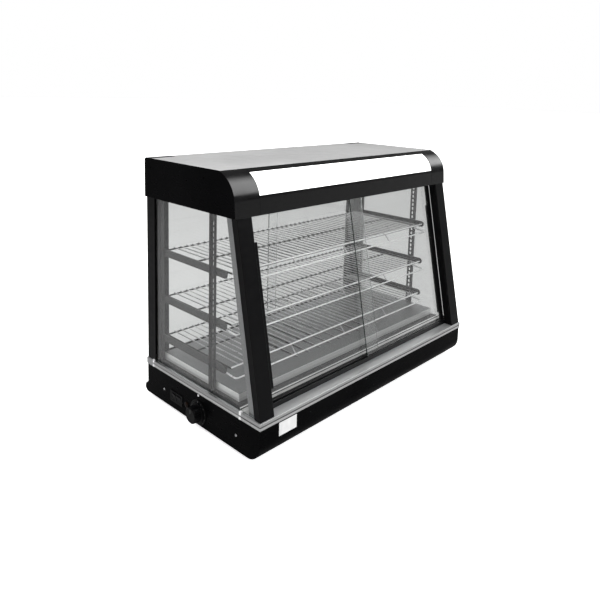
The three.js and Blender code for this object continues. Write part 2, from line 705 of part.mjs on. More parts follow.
// Channel under the canopy top with a socket block at each end of the tube.
function lampFixture() {
  const [y, z] = LAMP_CENTRE;
  const under = TOP_Z - SHEET - GAP;
  const channel = [[y - 20, TOP_Z - 26], [y - 20, under], [y + 20, under], [y + 20, TOP_Z - 26]];
  const socket = cut(
    box([-TUBE_HALF - 18, -TUBE_HALF - GAP], [y - 14, y + 14], [z - 14, TOP_Z - 3]),
    roundX(3 + GAP, y, z, [-TUBE_HALF - 12, -TUBE_HALF + 5], 8),
  );
  return join(alongX(folded(channel, 1.2), [-TUBE_HALF - 20, TUBE_HALF + 20]), socket, mirrored(socket));
}

part('lamp_fixture', WHITE, lampFixture());
part('lamp_tube', WHITE, lampTube());

// ---------------------------------------------------------------- controls on the left end
const FACE_X = -BASE_HALF;
const DIAL_OUT = 2.5;

function thermostat() {
  const depth = [FACE_X + SHEET + GAP, FACE_X + 45];
  const body = box(depth, [KNOB_Y - 24, KNOB_Y + 24], [CONTROL_Z - 20, CONTROL_Z + 20]);
  return join(body, roundX(3, KNOB_Y, CONTROL_Z, [FACE_X - 14, FACE_X + 10], 16));
}

function dialPlate() {
  const profile = [[GAP, 0], [GAP, 33], [DIAL_OUT - 1, 33], [DIAL_OUT, 32], [DIAL_OUT, 0]];
  return cut(
    turnedTowardsLeft(profile, FACE_X, KNOB_Y, CONTROL_Z),
    roundX(5, KNOB_Y, CONTROL_Z, [FACE_X - 10, FACE_X + 5], 16),
  );
}

// Knob with a skirt and a deep fluted grip.
const FLUTES = 7;

function thermostatKnob() {
  const start = DIAL_OUT + 0.7;
  const profile = [
    [start, 0], [start, 27], [start + 3, 26.5], [start + 4, 22.5], [KNOB_REACH - 2, 21.5], [KNOB_REACH, 19],
    [KNOB_REACH, 0],
  ];
  const face = FACE_X - KNOB_REACH;
  const flutes = [];
  for (let i = 0; i < FLUTES; i += 1) {
    const angle = ((i + 0.5) / FLUTES) * Math.PI * 2;
    const [y, z] = [KNOB_Y + 25 * Math.sin(angle), CONTROL_Z + 25 * Math.cos(angle)];
    flutes.push(roundX(6, y, z, [face - 5, FACE_X - start - 4.5], 16));
  }
  const bore = roundX(3.1, KNOB_Y, CONTROL_Z, [FACE_X - 15, FACE_X + 5], 16);
  return cut(turnedTowardsLeft(profile, FACE_X, KNOB_Y, CONTROL_Z), bore, ...flutes);
}

const ROCKER_PITCH = 22;

function switchHousing() {
  const about = (middle, half) => [middle - half, middle + half];
  const block = (xs, halfY, halfZ) => box(xs, about(SWITCH_Y, halfY), about(CONTROL_Z, halfZ));
  const flange = block([FACE_X - 2, FACE_X - GAP], 28, 15);
  const body = block([FACE_X - 1, FACE_X + 26], 24.5, 11.5);
  const well = block([FACE_X - 5, FACE_X + 12], 9, 10);
  const wells = [-1, 1].map((sign) => well.translate([0, (sign * ROCKER_PITCH) / 2, 0]));
  return cut(join(flange, body), ...wells);
}

// Rocker: a shallow V across its face, turning on an axis along Y and resting in its off position.
const ROCKER_TILT = 9;

function rocker(y) {
  const section = [[-9.2, -3.5], [0, -1.5], [9.2, -3.5], [8.4, 3], [4, 6], [-4, 6], [-8.4, 3]];
  const outline = section.map(([up, inward]) => [inward, up]);
  const geometry = extrude(outlineShape(outline), 17);
  geometry.rotateX(Math.PI / 2);
  const upright = solid(geometry.translate(0, 8.5, 0));
  return upright.rotate([0, -ROCKER_TILT, 0]).translate([FACE_X + 0.5, y, CONTROL_Z]);
}

function indicatorLamp() {
  const profile = [[-8, 0], [-8, 5.8], [GAP, 5.8], [GAP, 8], [2, 8], [3, 6], [4.2, 3], [4.6, 0]];
  return turnedTowardsLeft(profile, FACE_X, LAMP_Y, CONTROL_Z, 24);
}

part('thermostat', ZINC, thermostat());
part('thermostat_dial', BLACK_PLASTIC, dialPlate());
part('thermostat_knob', BLACK_PLASTIC, thermostatKnob());
part('switch_housing', BLACK_PLASTIC, switchHousing());
part('heat_switch', BLACK_PLASTIC, rocker(SWITCH_Y - ROCKER_PITCH / 2));
part('light_switch', BLACK_PLASTIC, rocker(SWITCH_Y + ROCKER_PITCH / 2));
part('indicator_lamp', AMBER, indicatorLamp());

// ---------------------------------------------------------------- cord inlet and blank label
function cordInlet() {
  const rear = DEPTH - 2;
  return cut(
    join(
      roundY(8.5, INLET_X, INLET_Z, [rear - 10, rear + 1], 20),
      roundY(12, INLET_X, INLET_Z, [rear + GAP, rear + 4], 20),
    ),
    roundY(4.5, INLET_X, INLET_Z, [rear - 20, rear + 10], 16),
  );
}

function labelPlate() {
  const face = 2 - GAP;
  return box([-388, -329], [face - 0.8, face], [BASE_Z + 49, BASE_Z + 83]);
}

part('cord_inlet', BLACK_PLASTIC, cordInlet());
part('label_plate', WHITE, labelPlate());

export default group;
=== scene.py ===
"""Looks of the hot food display case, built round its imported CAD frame. Metres, Z up, the front faces -Y."""
import json
import math

import bmesh
import bpy
from mathutils import Matrix, Vector


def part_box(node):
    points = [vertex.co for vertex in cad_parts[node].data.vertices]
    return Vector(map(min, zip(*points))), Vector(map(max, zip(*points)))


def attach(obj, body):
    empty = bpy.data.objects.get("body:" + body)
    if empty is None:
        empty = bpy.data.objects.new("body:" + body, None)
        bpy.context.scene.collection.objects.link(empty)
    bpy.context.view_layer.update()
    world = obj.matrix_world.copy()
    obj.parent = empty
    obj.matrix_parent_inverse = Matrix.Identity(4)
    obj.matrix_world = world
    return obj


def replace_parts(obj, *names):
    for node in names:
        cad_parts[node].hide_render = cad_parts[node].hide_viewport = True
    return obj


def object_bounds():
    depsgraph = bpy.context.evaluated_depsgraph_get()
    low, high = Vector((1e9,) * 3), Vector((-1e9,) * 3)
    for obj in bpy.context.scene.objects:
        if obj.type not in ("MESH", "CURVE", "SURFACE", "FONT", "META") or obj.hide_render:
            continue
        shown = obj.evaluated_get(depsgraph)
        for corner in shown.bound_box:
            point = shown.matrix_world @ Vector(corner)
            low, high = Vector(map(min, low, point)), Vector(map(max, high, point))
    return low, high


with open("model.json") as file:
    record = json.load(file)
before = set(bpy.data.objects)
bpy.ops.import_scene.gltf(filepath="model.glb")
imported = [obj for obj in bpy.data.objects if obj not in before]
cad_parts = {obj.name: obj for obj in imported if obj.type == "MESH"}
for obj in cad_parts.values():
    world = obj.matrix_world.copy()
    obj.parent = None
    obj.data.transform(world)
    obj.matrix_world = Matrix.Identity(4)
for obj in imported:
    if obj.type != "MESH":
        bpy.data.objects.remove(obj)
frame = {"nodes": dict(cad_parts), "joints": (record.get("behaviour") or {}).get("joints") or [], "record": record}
CAD_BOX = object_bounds()

MM = 0.001
BODY_OF = {
    node: body
    for body, nodes in frame["record"]["behaviour"]["bodies"].items()
    for node in nodes
}
LOW, HIGH = CAD_BOX
SIDES = (("left", -1), ("right", 1))
LEVELS = ("bottom", "middle", "top")

# Where the pieces that take lines or repeats lie.
CASE_X = (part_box("trim_front")[0].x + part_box("trim_front")[1].x) / 2
TRIM_BOTTOM, TRIM_TOP = (corner.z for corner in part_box("trim_left"))
COVER_BOTTOM, COVER_TOP_Z = (corner.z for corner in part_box("heater_cover"))
RAMP_DEPTH = 26 * MM
RAMP_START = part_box("deck_pan")[0].y
RAMP_END = RAMP_START + RAMP_DEPTH


# ------------------------------------------------------------------ shader helpers
def start_material(name, **values):
    """A material with one Principled shader whose sockets are set to the given values."""
    material = bpy.data.materials.new(name)
    material.use_nodes = True
    tree = material.node_tree
    shader = tree.nodes["Principled BSDF"]
    for socket, value in values.items():
        socket_name = socket.replace("_", " ").title().replace("Ior", "IOR")
        shader.inputs[socket_name].default_value = value
    return material, tree, shader


def place(tree, stretch=(1, 1, 1)):
    """Coordinates in the row frame, stretched along the axes."""
    coordinates = tree.nodes.new("ShaderNodeTexCoord")
    mapping = tree.nodes.new("ShaderNodeMapping")
    mapping.inputs["Scale"].default_value = stretch
    tree.links.new(coordinates.outputs["Object"], mapping.inputs["Vector"])
    return mapping.outputs["Vector"]


def noise(tree, scale, detail=3.0, stretch=(1, 1, 1), roughness=0.5):
    """The grey value of a cloudy texture."""
    texture = tree.nodes.new("ShaderNodeTexNoise")
    texture.inputs["Scale"].default_value = scale
    texture.inputs["Detail"].default_value = detail
    texture.inputs["Roughness"].default_value = roughness
    tree.links.new(place(tree, stretch), texture.inputs["Vector"])
    return texture.outputs["Fac"]


def span(tree, value, low, high, start=0.3, end=0.7):
    """The value's stretch from start to end, spread over low to high."""
    node = tree.nodes.new("ShaderNodeMapRange")
    node.inputs["From Min"].default_value = start
    node.inputs["From Max"].default_value = end
    node.inputs["To Min"].default_value = low
    node.inputs["To Max"].default_value = high
    tree.links.new(value, node.inputs["Value"])
    return node.outputs["Result"]


def blend(tree, factor, first, second):
    """A colour between two colours, each a tuple or a socket."""
    node = tree.nodes.new("ShaderNodeMix")
    node.data_type = "RGBA"
    tree.links.new(factor, node.inputs["Factor"])
    for name, colour in (("A", first), ("B", second)):
        socket = next(s for s in node.inputs if s.name == name and s.type == "RGBA")
        if isinstance(colour, tuple):
            socket.default_value = (*colour, 1)
        else:
            tree.links.new(colour, socket)
    return next(s for s in node.outputs if s.type == "RGBA")


def bump(tree, shader, *layers):
    """Stacks bumps on the shader's normal. Each layer is (height socket, distance in metres)."""
    normal = None
    for height, distance in layers:
        node = tree.nodes.new("ShaderNodeBump")
        node.inputs["Distance"].default_value = distance
        tree.links.new(height, node.inputs["Height"])
        if normal is not None:
            tree.links.new(normal, node.inputs["Normal"])
        normal = node.outputs["Normal"]
    tree.links.new(normal, shader.inputs["Normal"])


# ------------------------------------------------------------------ materials
def enamel(name, dark, light, gloss, specular):
    """Sprayed and baked enamel: slight orange peel, with dust and handling that vary its gloss."""
    material, tree, shader = start_material(name, specular_ior_level=specular)
    cloud = noise(tree, 7, 4)
    smear = noise(tree, 30, 5, (1, 1, 3))
    tree.links.new(blend(tree, span(tree, cloud, 0, 1), dark, light), shader.inputs["Base Color"])
    tree.links.new(span(tree, smear, gloss, gloss + 0.14), shader.inputs["Roughness"])
    bump(tree, shader, (noise(tree, 420, 2), 0.00005), (noise(tree, 60, 2), 0.00008))
    return material


def moulded(name, dark, light, roughness):
    """Moulded plastic or rubber with a fine spark-eroded grain."""
    material, tree, shader = start_material(name, specular_ior_level=0.12)
    tree.links.new(
        blend(tree, span(tree, noise(tree, 60, 4), 0, 1), dark, light), shader.inputs["Base Color"]
    )
    tree.links.new(
        span(tree, noise(tree, 160, 3), roughness - 0.06, roughness + 0.08), shader.inputs["Roughness"]
    )
    bump(tree, shader, (noise(tree, 2600, 2), 0.00006))
    return material


def brushed(name, dark, light, roughness, along, metallic=1.0):
    """Brushed stainless sheet. The grain runs along the axis whose stretch is small."""
    material, tree, shader = start_material(name, metallic=metallic, anisotropic=0.4)
    grain = noise(tree, 260, 5, along, 0.65)
    cloud = noise(tree, 5, 3)
    shade = blend(tree, span(tree, grain, 0, 1, 0.25, 0.75), dark, light)
    worn = tuple(0.86 * value for value in light)
    tint = blend(tree, span(tree, cloud, 0, 0.5), shade, worn)
    tree.links.new(tint, shader.inputs["Base Color"])
    tree.links.new(span(tree, grain, roughness, roughness + 0.16), shader.inputs["Roughness"])
    bump(tree, shader, (grain, 0.00005), (noise(tree, 12, 2), 0.0004))
    return material


def painted_light_bands(name, axis, low, high, bands, along):
    """Brushed sheet painted with bands of light and shade across an axis: painted highlights and painted shadow
    lines, not pressed lines.
    Each band is the share of the way from low to high at which it starts, and its grey."""
    material, tree, shader = start_material(name, metallic=0.7)
    split = tree.nodes.new("ShaderNodeSeparateXYZ")
    tree.links.new(place(tree), split.inputs["Vector"])
    ramp = tree.nodes.new("ShaderNodeValToRGB")
    ramp.color_ramp.interpolation = "CONSTANT"
    stops = ramp.color_ramp.elements
    stops.remove(stops[1])
    for share, grey in bands:
        stop = stops.new(share) if share > 0 else stops[0]
        stop.color = (grey, grey, grey, 1)
    tree.links.new(span(tree, split.outputs[axis], 0, 1, low, high), ramp.inputs["Fac"])
    grain = noise(tree, 260, 5, along, 0.65)
    groove = (0.1, 0.1, 0.1)
    worn = blend(tree, span(tree, grain, 0, 0.35, 0.25, 0.75), ramp.outputs["Color"], groove)
    tree.links.new(worn, shader.inputs["Base Color"])
    tree.links.new(span(tree, grain, 0.26, 0.42), shader.inputs["Roughness"])
    bump(tree, shader, (grain, 0.00005))
    return material


def plated(name, dark, light, roughness, metallic=1.0):
    """Smooth bare or plated metal, with the slight ripple and dulling that food and cleaning leave."""
    material, tree, shader = start_material(name, metallic=metallic)
    cloud = noise(tree, 35, 3)
    tree.links.new(blend(tree, span(tree, cloud, 0, 1), dark, light), shader.inputs["Base Color"])
    tree.links.new(
        span(tree, noise(tree, 90, 4), roughness, roughness + 0.12), shader.inputs["Roughness"]
    )
    bump(tree, shader, (noise(tree, 240, 2), 0.00008))
    return material


def spangled(name, dark, light):
    """Zinc coating with its crystals."""
    material, tree, shader = start_material(name, metallic=0.9)
    crystals = tree.nodes.new("ShaderNodeTexVoronoi")
    crystals.inputs["Scale"].default_value = 130
    tree.links.new(place(tree), crystals.inputs["Vector"])
    split = tree.nodes.new("ShaderNodeSeparateColor")
    tree.links.new(crystals.outputs["Color"], split.inputs["Color"])
    flake = split.outputs["Red"]
    tree.links.new(blend(tree, flake, dark, light), shader.inputs["Base Color"])
    tree.links.new(span(tree, flake, 0.36, 0.55, 0, 1), shader.inputs["Roughness"])
    bump(tree, shader, (noise(tree, 300, 2), 0.00008))
    return material


def painted_panel(name, dark, light):
    """Satin light grey paint on sheet steel, with a soft cloudiness and fine scratches."""
    material, tree, shader = start_material(name, specular_ior_level=0.4)
    cloud = noise(tree, 4, 4)
    scratch = noise(tree, 90, 6, (0.15, 4, 1), 0.7)
    shade = blend(tree, span(tree, cloud, 0, 1), dark, light)
    scuffed = tuple(0.93 * value for value in dark)
    tint = blend(tree, span(tree, scratch, 0, 0.7, 0.62, 0.7), shade, scuffed)
    tree.links.new(tint, shader.inputs["Base Color"])
    tree.links.new(span(tree, noise(tree, 25, 4), 0.34, 0.5), shader.inputs["Roughness"])
    bump(tree, shader, (noise(tree, 380, 2), 0.00006), (scratch, 0.00002))
    return material


def glass(name, tint, clouded=0.0, clear_share=1.0):
    """Clear tempered glass with faint smears. Lamps shine through it, so that what is behind is lit."""
    material, tree, shader = start_material(name, transmission_weight=clear_share, ior=1.45)
    shader.inputs["Base Color"].default_value = (*tint, 1)
    smear = noise(tree, 9, 5, (1, 1, 2.2), 0.6)
    tree.links.new(
        span(tree, smear, clouded, clouded + 0.035, 0.5, 0.8), shader.inputs["Roughness"]
    )
    clear = tree.nodes.new("ShaderNodeBsdfTransparent")
    clear.inputs["Color"].default_value = (*tint, 1)
    path = tree.nodes.new("ShaderNodeLightPath")
    either = tree.nodes.new("ShaderNodeMath")
    either.operation = "MAXIMUM"
    tree.links.new(path.outputs["Is Shadow Ray"], either.inputs[0])
    tree.links.new(path.outputs["Is Diffuse Ray"], either.inputs[1])
    mix = tree.nodes.new("ShaderNodeMixShader")
    tree.links.new(either.outputs[0], mix.inputs["Fac"])
    tree.links.new(shader.outputs[0], mix.inputs[1])
    tree.links.new(clear.outputs[0], mix.inputs[2])
    tree.links.new(mix.outputs[0], tree.nodes["Material Output"].inputs["Surface"])
    return material


def lit_plastic(name, colour, strength, gloss):
    """Opal plastic or frosted glass with a lamp behind it."""
    material, tree, shader = start_material(name, emission_strength=strength)
    shader.inputs["Base Color"].default_value = (*colour, 1)
    haze = span(tree, noise(tree, 3, 2, (1, 3, 3)), 0, 1)
    dimmer = tuple(0.95 * value for value in colour)
    tree.links.new(blend(tree, haze, dimmer, colour), shader.inputs["Emission Color"])
    tree.links.new(span(tree, noise(tree, 40, 3), gloss, gloss + 0.1), shader.inputs["Roughness"])
    return material


ALONG_X = (0.02, 1, 1)
ALONG_Y = (1, 0.02, 1)
ALONG_Z = (1, 1, 0.02)

ENAMEL = enamel("black_enamel", (0.0008, 0.0008, 0.001), (0.002, 0.002, 0.0022), 0.24, 0.02)
CANOPY_ENAMEL = enamel("canopy_enamel", (0.001, 0.001, 0.0012), (0.002, 0.002, 0.0022), 0.12, 0.4)
SATIN_BLACK = enamel("satin_black", (0.0015, 0.0015, 0.0018), (0.0035, 0.0035, 0.0038), 0.3, 0.1)
BLACK_PLASTIC = moulded("black_plastic", (0.0012, 0.0012, 0.0014), (0.003, 0.003, 0.0033), 0.34)
RUBBER = moulded("black_rubber", (0.012, 0.012, 0.012), (0.024, 0.023, 0.022), 0.75)
STEEL_X = brushed("stainless_along_x", (0.36, 0.365, 0.37), (0.46, 0.465, 0.47), 0.36, ALONG_X, 0.75)
STEEL_Y = brushed("stainless_along_y", (0.44, 0.45, 0.46), (0.62, 0.63, 0.64), 0.24, ALONG_Y)
STEEL_Z = brushed("stainless_along_z", (0.16, 0.164, 0.168), (0.27, 0.274, 0.278), 0.26, ALONG_Z)
# Painted shade: the deck's floor and the cover's top are given much darker stainless than the cover's sides, for
# the shade that falls on them.
DECK_STEEL_PAINTED_SHADE = brushed("deck_painted_shade", (0.06, 0.062, 0.064), (0.14, 0.143, 0.146), 0.34, ALONG_X)
COVER_TOP_PAINTED_SHADE = brushed("cover_top_painted_shade", (0.14, 0.143, 0.146), (0.25, 0.254, 0.258), 0.34, ALONG_X)
# Painted light: bands of painted highlight and painted shadow lines across the trims' ends and the front sill.
TRIM_PAINTED_BANDS = painted_light_bands(
    "trim_painted_bands", "Z", TRIM_BOTTOM, TRIM_TOP, ((0, 0.05), (0.08, 0.62), (0.44, 0.04), (0.52, 0.4)), ALONG_Y
)
SILL_PAINTED_BANDS = painted_light_bands(
    "sill_painted_bands", "Z", TRIM_BOTTOM, TRIM_TOP, ((0, 0.05), (0.06, 0.6), (0.4, 0.1), (0.6, 0.45)), ALONG_X
)
# Painted light: a painted highlight along the deck's raised edge, with a painted shadow line beside it.
DECK_RAMP_PAINTED_LINES = painted_light_bands(
    "deck_ramp_painted_lines", "Y", RAMP_START, RAMP_END, ((0, 0.5), (0.35, 0.65), (0.72, 0.05), (0.86, 1)), ALONG_X
)
# Painted light: the cover's sides darken to a painted shadow line at the bottom and brighten towards the top edge
# as a painted highlight.
COVER_SIDE_PAINTED_SHADE = painted_light_bands(
    "cover_side_painted_shade", "Z", COVER_BOTTOM, COVER_TOP_Z, ((0, 0.08), (0.3, 0.75), (0.55, 0.9), (0.93, 1)), ALONG_X
)
# Painted sheen: a near-white base with little metal, so the shelf lip reads bright as if lit.
CHROME_PAINTED_SHEEN = plated("chrome_painted_sheen", (0.78, 0.78, 0.79), (0.9, 0.9, 0.91), 0.26, 0.4)
WIRE_STEEL = plated("chrome_wire", (0.36, 0.36, 0.365), (0.52, 0.52, 0.525), 0.26, 0.8)
# Painted shade: the rods under the wires are made near black for the shade they lie in.
ROD_PAINTED_SHADE = plated("rod_painted_shade", (0.03, 0.03, 0.03), (0.06, 0.06, 0.06), 0.3)
SCREW_STEEL = plated("screw_steel", (0.6, 0.6, 0.61), (0.8, 0.8, 0.81), 0.2)
# Painted sheen: a near-white base with little metal, so the trim clips and small screws read as bright glints.
BRIGHT_STEEL_PAINTED_SHEEN = plated("clip_painted_sheen", (0.82, 0.82, 0.83), (0.95, 0.95, 0.95), 0.3, 0.35)
ZINC = spangled("zinc_coating", (0.42, 0.44, 0.46), (0.58, 0.6, 0.62))
SHEATH = plated("element_sheath", (0.16, 0.15, 0.14), (0.27, 0.25, 0.23), 0.38)
DARK_STEEL = brushed("dark_grey_steel", (0.016, 0.016, 0.017), (0.04, 0.04, 0.041), 0.36, ALONG_Z, 0.25)
GREY_PANEL = painted_panel("grey_panel", (0.3, 0.3, 0.3), (0.38, 0.38, 0.38))
WHITE_PAINT = enamel("white_enamel", (0.74, 0.74, 0.72), (0.82, 0.82, 0.8), 0.3, 0.4)
LABEL = moulded("blank_label", (0.56, 0.56, 0.56), (0.66, 0.66, 0.66), 0.4)
GLASS = glass("clear_glass", (0.962, 0.97, 0.966))
# Painted shade: the door panes are tinted darker than the other panes, darkening the view into the case.
DOOR_GLASS_PAINTED_SHADE = glass("door_glass_painted_shade", (0.85, 0.857, 0.853), 0.0, 0.987)
GLASS_EDGE = glass("glass_edge", (0.2, 0.34, 0.29), 0.12)
AMBER = moulded("amber_lens", (0.005, 0.0025, 0.0015), (0.009, 0.004, 0.002), 0.2)
DIFFUSER = lit_plastic("opal_diffuser", (0.98, 0.98, 0.96), 1.3, 0.25)
TUBE = lit_plastic("tube_glass", (1.0, 0.98, 0.94), 5.0, 0.2)
MARK = enamel("grey_print", (0.1, 0.1, 0.1), (0.16, 0.16, 0.16), 0.4, 0.3)


# ------------------------------------------------------------------ mesh helpers
def add_piece(name, mesh, material, body):
    """A new object with one material that rides on a body of the part."""
    piece = bpy.data.objects.new(name, mesh)
    bpy.context.scene.collection.objects.link(piece)
    mesh.materials.clear()
    mesh.materials.append(material)
    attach(piece, body)
    return piece


def mark_smooth(b, sharpest=math.radians(32)):
    """Smooth faces, with the edges sharper than the angle kept crisp."""
    for face in b.faces:
        face.smooth = True
    for edge in b.edges:
        edge.smooth = len(edge.link_faces) == 2 and edge.calc_face_angle(0) < sharpest


def soften(piece, width, segments=2):
    """Rounds the edges by a small radius and keeps the flat faces flat."""
    round_edges = piece.modifiers.new("round_edges", "BEVEL")
    round_edges.width = width
    round_edges.segments = segments
    round_edges.limit_method = "ANGLE"
    round_edges.angle_limit = math.radians(35)
    round_edges.use_clamp_overlap = True
    normals = piece.modifiers.new("flat_faces", "WEIGHTED_NORMAL")
    normals.keep_sharp = True
    normals.weight = 100


def largest_faces(b):
    """The broad faces, as against the narrow ones along their edges."""
    largest = max(face.calc_area() for face in b.faces)
    return [face for face in b.faces if face.calc_area() > 0.4 * largest]


def end_faces(b):
    """The faces that look along X."""
    return [face for face in b.faces if abs(face.normal.x) > 0.7]


def top_faces(b):
    """The level faces that look up."""
    return [face for face in b.faces if face.normal.z > 0.99]


def finished(node, material, width, other_material=None, choose=largest_faces):
    """A copy of a CAD node with whole flat faces, rounded edges and its own finish, in the node's place.
    With two materials, the first is for the chosen faces."""
    mesh = frame["nodes"][node].data.copy()
    if "custom_normal" in mesh.attributes:
        mesh.attributes.remove(mesh.attributes["custom_normal"])
    b = bmesh.new()
    b.from_mesh(mesh)
    bmesh.ops.remove_doubles(b, verts=b.verts, dist=0.01 * MM)
    bmesh.ops.dissolve_limit(b, angle_limit=math.radians(0.3), verts=b.verts, edges=b.edges)
    mark_smooth(b)
    b.faces.index_update()
    chosen = {face.index for face in choose(b)}
    b.to_mesh(mesh)
    b.free()
    piece = add_piece(node + "_finished", mesh, material, BODY_OF[node])
    if other_material is not None:
        mesh.materials.append(other_material)
        for polygon in mesh.polygons:
            polygon.material_index = 0 if polygon.index in chosen else 1
    if width:
        soften(piece, width)
    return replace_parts(piece, node)


def bar_mesh(name, low, high):
    """A plain box between two corners."""
    b = bmesh.new()
    bmesh.ops.create_cube(b, size=1)
    for vertex in b.verts:
        vertex.co = Vector(low[i] if vertex.co[i] < 0 else high[i] for i in range(3))
    mark_smooth(b)
    mesh = bpy.data.meshes.new(name)
    b.to_mesh(mesh)
    b.free()
    return mesh


def turned_mesh(name, profile, sides=24):
    """A turned solid about +Z from (radius, height) pairs that start and end on the axis."""
    b = bmesh.new()
    rings = []
    for radius, height in profile:
        if radius < 1e-7:
            rings.append([b.verts.new((0, 0, height))])
            continue
        rings.append([
            b.verts.new((
                radius * math.cos(2 * math.pi * k / sides),
                radius * math.sin(2 * math.pi * k / sides),
                height,
            ))
            for k in range(sides)
        ])
    for lower, upper in zip(rings, rings[1:]):
        for k in range(sides):
            following = (k + 1) % sides
            corners = [lower[k % len(lower)], lower[following % len(lower)],
                       upper[following % len(upper)], upper[k % len(upper)]]
            b.faces.new(list(dict.fromkeys(corners)))
    bmesh.ops.recalc_face_normals(b, faces=b.faces)
    mark_smooth(b)
    mesh = bpy.data.meshes.new(name)
    b.to_mesh(mesh)
    b.free()
    return mesh


def carve(mesh, *cutters):
    """Cuts the cutter meshes out of a mesh."""
    scene = bpy.context.scene
    target = bpy.data.objects.new("carve_target", mesh)
    scene.collection.objects.link(target)
    tools = []
    for cutter in cutters:
        tool = bpy.data.objects.new("carve_tool", cutter)
        scene.collection.objects.link(tool)
        tools.append(tool)
        modifier = target.modifiers.new("cut", "BOOLEAN")
        modifier.operation = "DIFFERENCE"
        modifier.solver = "EXACT"
        modifier.object = tool
    graph = bpy.context.evaluated_depsgraph_get()
    result = bpy.data.meshes.new_from_object(target.evaluated_get(graph))
    for thing in [target, *tools]:
        bpy.data.objects.remove(thing)
    return result


def facing(direction):
    """The turn that takes +Z to the direction."""
    return Vector(direction).to_track_quat("Z", "Y").to_matrix().to_4x4()


# ------------------------------------------------------------------ CAD nodes that keep their shape
def finish_frame_nodes():
    """Gives every node of one finish its material and its rounded edges."""
    nodes_of = {
        ENAMEL: ("base_shell", "canopy_rear"),
        CANOPY_ENAMEL: ("canopy_fascia", "diffuser_rail"),
        SATIN_BLACK: (
            "front_post_left", "front_post_right", "rear_post_left", "rear_post_right",
            "front_door_track", "rear_door_track",
        ),
        BLACK_PLASTIC: (
            "front_pull_left", "front_pull_right", "thermostat_dial", "thermostat_knob",
            "switch_housing", "heat_switch", "light_switch", "cord_inlet",
        ),
        STEEL_X: ("trim_rear",),
        STEEL_Z: ("glass_strip_left", "glass_strip_right"),
        GREY_PANEL: ("canopy_top",),
        WHITE_PAINT: ("lamp_fixture",),
        DIFFUSER: ("light_diffuser",),
        TUBE: ("lamp_tube",),
        AMBER: ("indicator_lamp",),
        LABEL: ("label_plate",),
        ZINC: ("base_bottom_plate", "thermostat"),
        SHEATH: ("heating_element",),
        RUBBER: [f"foot_{end}_{side}" for end in ("front", "rear") for side, _ in SIDES],
        DARK_STEEL: [f"pilaster_{end}_{side}" for end in ("front", "rear") for side, _ in SIDES]
        + [f"shelf_bracket_{level}_{side}" for level in LEVELS for side, _ in SIDES],
    }
    radii = {
        "base_shell": 0.6, "canopy": 0.5, "front_post": 0.7, "rear_post": 0.7, "thermostat_knob": 0.6,
        "front_pull": 0.8, "trim": 0.5, "foot": 1.0, "heating_element": 0, "lamp_tube": 0,
    }
    fine = 0.25
    for material, nodes in nodes_of.items():
        for node in nodes:
            radius = next((r for start, r in radii.items() if node.startswith(start)), fine)
            finished(node, material, radius * MM)


def finish_two_tone_nodes():
    """Nodes whose faces differ: the canopy's ends, and sheets with painted light and shade: painted highlight and
    shadow bands on the trims, the cover's sides and the deck's ramp, with the deck's floor and the cover's top
    painted darker as painted shade.
    """
    for side, _ in SIDES:
        finished(f"canopy_end_{side}", ENAMEL, 0.5 * MM, CANOPY_ENAMEL, end_faces)
        finished(f"trim_{side}", STEEL_Y, 0.8 * MM, TRIM_PAINTED_BANDS, top_faces)
    finished("trim_front", STEEL_X, 0.5 * MM, SILL_PAINTED_BANDS, top_faces)
    finished("heater_cover", COVER_TOP_PAINTED_SHADE, 0.6 * MM, COVER_SIDE_PAINTED_SHADE, top_faces)
    finished("deck_pan", DECK_STEEL_PAINTED_SHADE, 0.3 * MM, DECK_RAMP_PAINTED_LINES, top_faces)


def finish_glass():
    """Panes with green edges."""
    for kind, material in (("end_glass", GLASS), ("front_door", DOOR_GLASS_PAINTED_SHADE), ("rear_door", GLASS)):
        for side, _ in SIDES:
            finished(f"{kind}_{side}", material, 0.5 * MM, GLASS_EDGE)


finish_frame_nodes()
finish_two_tone_nodes()
finish_glass()


# ------------------------------------------------------------------ wire shelves
def wire_curve(name, strokes, radius):
    """Round wires of one thickness: each stroke is the list of points that its middle follows."""
    curve = bpy.data.curves.new(name, "CURVE")
    curve.dimensions = "3D"
    curve.bevel_depth = radius
    curve.bevel_resolution = 3
    curve.use_fill_caps = True
    for points in strokes:
        line = curve.splines.new("POLY")
        line.points.add(len(points) - 1)
        for target, point in zip(line.points, points):
            target.co = (*point, 1)
        line.use_smooth = True
    return curve


def rounded_corner(before, corner, after, radius, steps=5):
    """Points of a bend that leaves before-corner and joins corner-after."""
    corner = Vector(corner)
    into = (Vector(before) - corner).normalized() * radius
    out = (Vector(after) - corner).normalized() * radius
    points = []
    for k in range(steps + 1):
        t = k / steps
        points.append(corner + into * (1 - t) ** 2 + out * t ** 2)
    return points


HALF_BAR = 1.5 * MM
WIRE_PITCH = 20.4 * MM
WIRE_RADIUS = 1.8 * MM
LIP_RADIUS = 2.2 * MM
ROD_RADIUS = 2.3 * MM
WELD = 0.6 * MM
OVERHANG = 2 * MM
LIP_REACH = 20 * MM
LIP_BEND = 10 * MM


